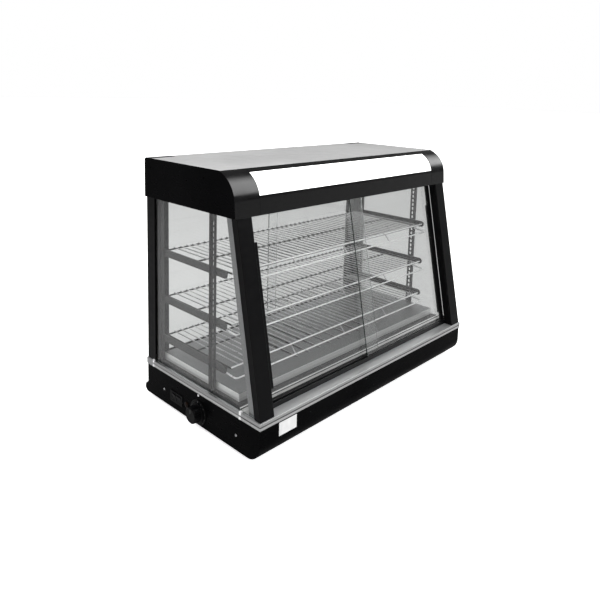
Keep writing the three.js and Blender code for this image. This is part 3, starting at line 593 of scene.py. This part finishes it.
def wire_shelf(level):
    """A shelf of round wires over cross rods painted near black as painted shade, with a dropped lip painted
    bright as a painted sheen, held by three uprights.
    """
    node = f"shelf_{level}"
    low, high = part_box(node)
    wire_z = high.z - HALF_BAR
    rod_z = wire_z - WIRE_RADIUS - ROD_RADIUS + WELD
    lip_y, lip_z = low.y + HALF_BAR, low.z + HALF_BAR
    front_y, rear_y = lip_y + LIP_REACH, high.y - HALF_BAR
    left, right = low.x + HALF_BAR, high.x - HALF_BAR
    wires = shelf_wires(right - CASE_X, front_y, rear_y, wire_z)
    for share in (0.25, 0.5, 0.75):
        x = left + share * (right - left)
        wires.append([(x, front_y, rod_z), (x, lip_y, lip_z)])
    lip = shelf_lip(left, right, front_y, rod_z, lip_y, lip_z)
    rods = shelf_rods(left, right, front_y, rear_y, rod_z)
    for piece_name, strokes, radius, material in (
        (f"{node}_wires", wires, WIRE_RADIUS, WIRE_STEEL),
        (f"{node}_lip", lip, LIP_RADIUS, CHROME_PAINTED_SHEEN),
        (f"{node}_rods", rods, ROD_RADIUS, ROD_PAINTED_SHADE),
    ):
        curve = wire_curve(piece_name, strokes, radius)
        piece = bpy.data.objects.new(piece_name, curve)
        bpy.context.scene.collection.objects.link(piece)
        curve.materials.append(material)
        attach(piece, "case")
        if piece_name.endswith("_rods"):
            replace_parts(piece, node)


def shelf_wires(half_width, front_y, rear_y, wire_z):
    """Wires from front to rear, evenly spaced from the middle outwards."""
    side_gap = 5 * MM
    count = int((half_width - side_gap) / WIRE_PITCH)
    wires = []
    for i in range(-count, count + 1):
        x = CASE_X + i * WIRE_PITCH
        wires.append([(x, front_y - OVERHANG, wire_z), (x, rear_y + OVERHANG, wire_z)])
    return wires


def shelf_rods(left, right, front_y, rear_y, rod_z):
    """Cross rods under the wires, and a rod along each side."""
    rods = [[(left, y, rod_z), (right, y, rod_z)] for y in (rear_y, (rear_y + front_y) / 2, front_y)]
    rods += [[(x, front_y, rod_z), (x, rear_y, rod_z)] for x in (left, right)]
    return rods


def shelf_lip(left, right, front_y, rod_z, lip_y, lip_z):
    """The dropped lip bent from one rod whose ends run back under the shelf, and a straight rod above it."""
    leg_y, leg_rise = front_y + 27 * MM, 4 * MM
    left_leg = [(left, leg_y + 3 * MM, rod_z), (left, leg_y, lip_z + leg_rise), (left, lip_y, lip_z)]
    right_leg = [(right, y, z) for _, y, z in reversed(left_leg)]
    route = left_leg + right_leg
    lip = [route[0]]
    for before, corner, after in zip(route, route[1:], route[2:]):
        lip += rounded_corner(before, corner, after, LIP_BEND)
    lip.append(route[-1])
    top_rod = [(x, front_y - OVERHANG, rod_z + OVERHANG) for x in (left, right)]
    return [lip, top_rod]


for level in LEVELS:
    wire_shelf(level)


# ------------------------------------------------------------------ screws, clips and marks
def screw(name, centre, direction, radius, material):
    """A pan-head screw with a cross recess, its head standing on the centre."""
    height = 0.45 * radius
    profile = [(0, 0), (radius, 0), (radius, 0.35 * height), (0.86 * radius, 0.75 * height),
               (0.5 * radius, 0.97 * height), (0, height)]
    head = turned_mesh(name, profile)
    arm, thick, deep = 0.55 * radius, 0.1 * radius, 0.55 * height
    crosses = [
        bar_mesh("cross", (-a, -b, height - deep), (a, b, height + deep))
        for a, b in ((arm, thick), (thick, arm))
    ]
    mesh = carve(head, *crosses)
    mesh.transform(Matrix.Translation(centre) @ facing(direction))
    return add_piece(name, mesh, material, "case")


def outer_x(node, sign):
    """The X of a node's outer face on the given side of the case."""
    low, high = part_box(node)
    return low.x if sign < 0 else high.x


def base_screws():
    """Two screws and a small one under the trim at each end of the base, and four at its back."""
    low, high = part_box("base_shell")
    radius, small_radius = 3.4 * MM, 3.2 * MM
    knob_y = sum(corner.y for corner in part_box("thermostat_dial")) / 2
    end_places = (("front", low.y + 86 * MM), ("rear", high.y - 97 * MM))
    end_level = 49 * MM
    trim_level = TRIM_BOTTOM - 5 * MM
    for side, sign in SIDES:
        x = outer_x("base_shell", sign)
        out = (sign, 0, 0)
        for place_name, y in end_places:
            screw(f"base_screw_{side}_{place_name}", (x, y, end_level), out, radius, SCREW_STEEL)
        # The small screw under the trim takes the clips' painted glint.
        screw(f"base_screw_{side}_top", (x, knob_y, trim_level), out, small_radius, BRIGHT_STEEL_PAINTED_SHEEN)
    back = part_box("canopy_rear")[1].y
    back_levels = (("low", 38 * MM), ("high", 84 * MM))
    from_middle = 415 * MM
    for side, sign in SIDES:
        x = CASE_X + sign * from_middle
        for level_name, z in back_levels:
            name = f"base_screw_back_{side}_{level_name}"
            screw(name, (x, back, z), (0, 1, 0), small_radius, ENAMEL)


def canopy_screws():
    """Two screws at each end of the canopy and a row of five along its back."""
    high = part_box("canopy_end_left")[1]
    radius = 3 * MM
    end_level = high.z - 25 * MM
    for side, sign in SIDES:
        x = outer_x(f"canopy_end_{side}", sign)
        for k, from_rear in enumerate((28 * MM, 263 * MM)):
            spot = (x, high.y - from_rear, end_level)
            screw(f"canopy_screw_{side}_{k + 1}", spot, (sign, 0, 0), radius, ENAMEL)
    spacing = 205 * MM
    back_level = end_level - 20 * MM
    for k in range(-2, 3):
        spot = (CASE_X + k * spacing, high.y, back_level)
        screw(f"canopy_screw_back_{k + 3}", spot, (0, 1, 0), radius, ENAMEL)


def trim_clips():
    """Small covers where the trim's pieces meet, made near white as a painted glint: one over the lip and one on
    the band.
    """
    half_width = 3.6 * MM
    proud = 0.8 * MM
    parts = (
        ("lip", TRIM_TOP - 6 * MM, TRIM_TOP + 3 * MM, 6.5 * MM),
        ("band", TRIM_BOTTOM + 0.5 * MM, TRIM_BOTTOM + 8 * MM, 1.5 * MM),
    )
    for side, sign in SIDES:
        low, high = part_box(f"trim_{side}")
        outer = outer_x(f"trim_{side}", sign)
        for place_name, y in (("front", low.y), ("rear", high.y)):
            for part_name, bottom, top, reach in parts:
                xs = sorted((outer + sign * proud, outer - sign * reach))
                name = f"trim_clip_{side}_{place_name}_{part_name}"
                mesh = bar_mesh(name, (xs[0], y - half_width, bottom), (xs[1], y + half_width, top))
                piece = add_piece(name, mesh, BRIGHT_STEEL_PAINTED_SHEEN, "case")
                soften(piece, 0.7 * MM, 3)


def dial_marks():
    """Printed ticks round the dial, from where the knob's line rests to the end of its travel."""
    low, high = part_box("thermostat_dial")
    centre = (low + high) / 2
    radius = (high.y - low.y) / 2
    joint = next(j for j in frame["joints"] if j["name"] == "thermostat_turn")
    travel = joint["range_deg"][1]
    ticks = 10
    proud, sunk = 0.12 * MM, 0.1 * MM
    b = bmesh.new()
    for k in range(ticks + 1):
        angle = math.radians(90 - travel * k / ticks)
        major = k in (0, ticks)
        inner, outer = (0.8 if major else 0.86) * radius, 0.95 * radius
        half = (0.9 if major else 0.45) * MM
        along = Vector((0, -math.cos(angle), math.sin(angle)))
        across = Vector((0, math.sin(angle), math.cos(angle)))
        corners = []
        for out, side in ((inner, -1), (inner, 1), (outer, 1), (outer, -1)):
            spot = Vector((low.x, centre.y, centre.z)) + along * out + across * side * half
            corners.append(spot)
        front = [b.verts.new(corner + Vector((-proud, 0, 0))) for corner in corners]
        back = [b.verts.new(corner + Vector((sunk, 0, 0))) for corner in corners]
        b.faces.new(front)
        b.faces.new(back[::-1])
        for i in range(4):
            j = (i + 1) % 4
            b.faces.new((front[i], back[i], back[j], front[j]))
    bmesh.ops.recalc_face_normals(b, faces=b.faces)
    mesh = bpy.data.meshes.new("dial_marks")
    b.to_mesh(mesh)
    b.free()
    add_piece("dial_marks", mesh, MARK, "case")


def knob_line():
    """The line on the knob's face, straight up at rest."""
    low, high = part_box("thermostat_knob")
    middle = (low + high) / 2
    dial_low, dial_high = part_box("thermostat_dial")
    axle_y = (dial_low.y + dial_high.y) / 2
    proud, sunk = 0.12 * MM, 0.2 * MM
    half_width = 0.7 * MM
    inner, outer = 5 * MM, 16 * MM
    mesh = bar_mesh(
        "knob_pointer",
        (low.x - proud, axle_y - half_width, middle.z + inner),
        (low.x + sunk, axle_y + half_width, middle.z + outer),
    )
    add_piece("knob_pointer", mesh, MARK, "thermostat_knob")


def tube_caps():
    """Metal end caps of the lamp tube."""
    low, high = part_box("lamp_tube")
    middle = (low + high) / 2
    tube_radius = (high.z - low.z) / 2
    cap_radius, cap_length = tube_radius + 0.4 * MM, 11 * MM
    profile = [(0, 0), (cap_radius, 0), (cap_radius, cap_length - 2 * MM)]
    profile += [(tube_radius - 1 * MM, cap_length), (0, cap_length)]
    inset = 8.1 * MM
    for side, sign in SIDES:
        x = outer_x("lamp_tube", sign) - sign * inset
        mesh = turned_mesh(f"tube_cap_{side}", profile)
        mesh.transform(Matrix.Translation((x, middle.y, middle.z)) @ facing((-sign, 0, 0)))
        add_piece(f"tube_cap_{side}", mesh, SCREW_STEEL, "case")


base_screws()
canopy_screws()
trim_clips()
dial_marks()
knob_line()
tube_caps()


# ------------------------------------------------------------------ studio
# How bright the floor glows to the eye and through glass, and what mirrors and glass see of the room.
FLOOR_GLOW = 0.7
GLOW_THROUGH = 0.2
DIM_LEFT = (0.2, 0.2, 0.2)
DIM_RIGHT = (0.17, 0.17, 0.17)
SEEN_THROUGH = (1.0, 1.0, 1.0)
PANEL = (5.5, 5.5, 5.5)

FLOOR_HALF = 30
FLOOR_GAP = 0.2 * MM


def stage_material(seen, through, mirrored, lit):
    """The floor: a grey of its own for each way of seeing it (by eye, through glass, mirrored, lit)."""
    material = bpy.data.materials.new("pale_floor")
    material.use_nodes = True
    tree = material.node_tree
    tree.nodes.clear()
    output = tree.nodes.new("ShaderNodeOutputMaterial")
    shader = tree.nodes.new("ShaderNodeBsdfPrincipled")
    shader.inputs["Roughness"].default_value = 0.9
    path = tree.nodes.new("ShaderNodeLightPath")
    shader.inputs["Emission Color"].default_value = (1, 1, 1, 1)
    glow = tree.nodes.new("ShaderNodeMath")
    glow.operation = "ADD"
    tree.links.new(span(tree, path.outputs["Is Camera Ray"], 0, FLOOR_GLOW, 0, 1), glow.inputs[0])
    tree.links.new(span(tree, path.outputs["Is Transmission Ray"], 0, GLOW_THROUGH, 0, 1), glow.inputs[1])
    tree.links.new(glow.outputs[0], shader.inputs["Emission Strength"])
    grain = span(tree, noise(tree, 3, 2), 0.98, 1.0)
    colour = (lit, lit, lit)
    greys = (("Is Transmission Ray", through), ("Is Glossy Ray", mirrored), ("Is Camera Ray", seen))
    for flag, value in greys:
        colour = blend(tree, path.outputs[flag], colour, (value, value, value))
    shade = blend(tree, grain, (0.9, 0.9, 0.9), colour)
    tree.links.new(shade, shader.inputs["Base Color"])
    tree.links.new(shader.outputs[0], output.inputs["Surface"])
    return material


def make_floor():
    """A plain floor that reaches far behind the case, just clear of its feet."""
    b = bmesh.new()
    bmesh.ops.create_grid(b, x_segments=1, y_segments=1, size=FLOOR_HALF)
    mesh = bpy.data.meshes.new("floor")
    b.to_mesh(mesh)
    b.free()
    floor = bpy.data.objects.new("floor", mesh)
    floor.location.z = -FLOOR_GAP
    mesh.materials.append(stage_material(seen=1.0, through=0.95, mirrored=0.35, lit=0.8))
    bpy.context.scene.collection.objects.link(floor)


def product(tree, first, second):
    """The product of two sockets."""
    node = tree.nodes.new("ShaderNodeMath")
    node.operation = "MULTIPLY"
    tree.links.new(first, node.inputs[0])
    tree.links.new(second, node.inputs[1])
    return node.outputs[0]


def make_world():
    """White to the eye and soft light all round. Mirrors see a dim room with one bright panel, high up at
    the front right, whose reflection runs along the curve of the canopy."""
    world = bpy.data.worlds.new("studio")
    bpy.context.scene.world = world
    world.use_nodes = True
    tree = world.node_tree
    background = tree.nodes["Background"]
    coordinates = tree.nodes.new("ShaderNodeTexCoord")
    split = tree.nodes.new("ShaderNodeSeparateXYZ")
    tree.links.new(coordinates.outputs["Generated"], split.inputs["Vector"])
    x, y, z = (split.outputs[axis] for axis in "XYZ")
    path = tree.nodes.new("ShaderNodeLightPath")
    room = blend(tree, span(tree, z, 0, 1, 0.0, 0.9), (0.6, 0.6, 0.6), (1.2, 1.2, 1.2))
    dim = blend(tree, span(tree, x, 0, 1, -0.3, 0.4), DIM_LEFT, DIM_RIGHT)
    panel = product(tree, span(tree, z, 0, 1, 0.25, 0.36), span(tree, y, 1, 0, -0.25, 0.1))
    panel = product(tree, panel, span(tree, x, 0, 1, 0.2, 0.5))
    mirrored = blend(tree, panel, dim, PANEL)
    shade = blend(tree, path.outputs["Is Glossy Ray"], room, mirrored)
    shade = blend(tree, path.outputs["Is Transmission Ray"], shade, SEEN_THROUGH)
    shade = blend(tree, path.outputs["Is Camera Ray"], shade, (1, 1, 1))
    tree.links.new(shade, background.inputs["Color"])
    background.inputs["Strength"].default_value = 1.0


def add_light(name, place_at, aim, size, power):
    """A soft box that mirrors don't show."""
    light = bpy.data.lights.new(name, "AREA")
    light.shape = "RECTANGLE"
    light.size, light.size_y = size
    light.energy = power
    lamp = bpy.data.objects.new(name, light)
    lamp.location = place_at
    direction = Vector(aim) - Vector(place_at)
    lamp.rotation_euler = direction.to_track_quat("-Z", "Y").to_euler()
    lamp.visible_glossy = False
    bpy.context.scene.collection.objects.link(lamp)


def make_lights():
    """Soft light from above, from the front and, weaker, from behind."""
    middle = (LOW + HIGH) / 2
    add_light("overhead", (-0.7, -0.3, 2.2), middle, (1.8, 1.4), 28)
    add_light("front", (0.3, -2.6, 1.5), middle, (1.8, 1.2), 36)
    add_light("rear", (-0.4, 2.4, 1.8), middle, (1.8, 1.2), 16)


# The camera as fitted to the photograph: its place in metres, angles in degrees, lens and sensor in mm.
CAMERA_PLACE = (-1.2970, -1.1916, 0.8791)
CAMERA_AZIMUTH = 46.603
CAMERA_DOWN = 7.847
CAMERA_ROLL = 1.603
CAMERA_LENS = 35.74
CAMERA_SENSOR = 36
CAMERA_SHIFT = (-0.0162, -0.2144)


def make_camera():
    """At the photograph's viewing angle: a little above the case, off its front left corner."""
    azimuth, down, roll = map(math.radians, (CAMERA_AZIMUTH, CAMERA_DOWN, CAMERA_ROLL))
    across = math.cos(down)
    ahead = Vector((math.sin(azimuth) * across, math.cos(azimuth) * across, -math.sin(down)))
    level = Vector((math.cos(azimuth), -math.sin(azimuth), 0))
    upward = level.cross(ahead)
    right = math.cos(roll) * level + math.sin(roll) * upward
    top = -math.sin(roll) * level + math.cos(roll) * upward
    camera = bpy.data.cameras.new("camera")
    camera.sensor_width = CAMERA_SENSOR
    camera.lens = CAMERA_LENS
    camera.shift_x, camera.shift_y = CAMERA_SHIFT
    eye = bpy.data.objects.new("camera", camera)
    turn = Matrix((right, top, -ahead)).transposed().to_4x4()
    eye.matrix_world = Matrix.Translation(CAMERA_PLACE) @ turn
    bpy.context.scene.collection.objects.link(eye)
    bpy.context.scene.camera = eye


make_floor()
make_world()
make_lights()
make_camera()
bpy.context.scene.view_settings.view_transform = "Standard"
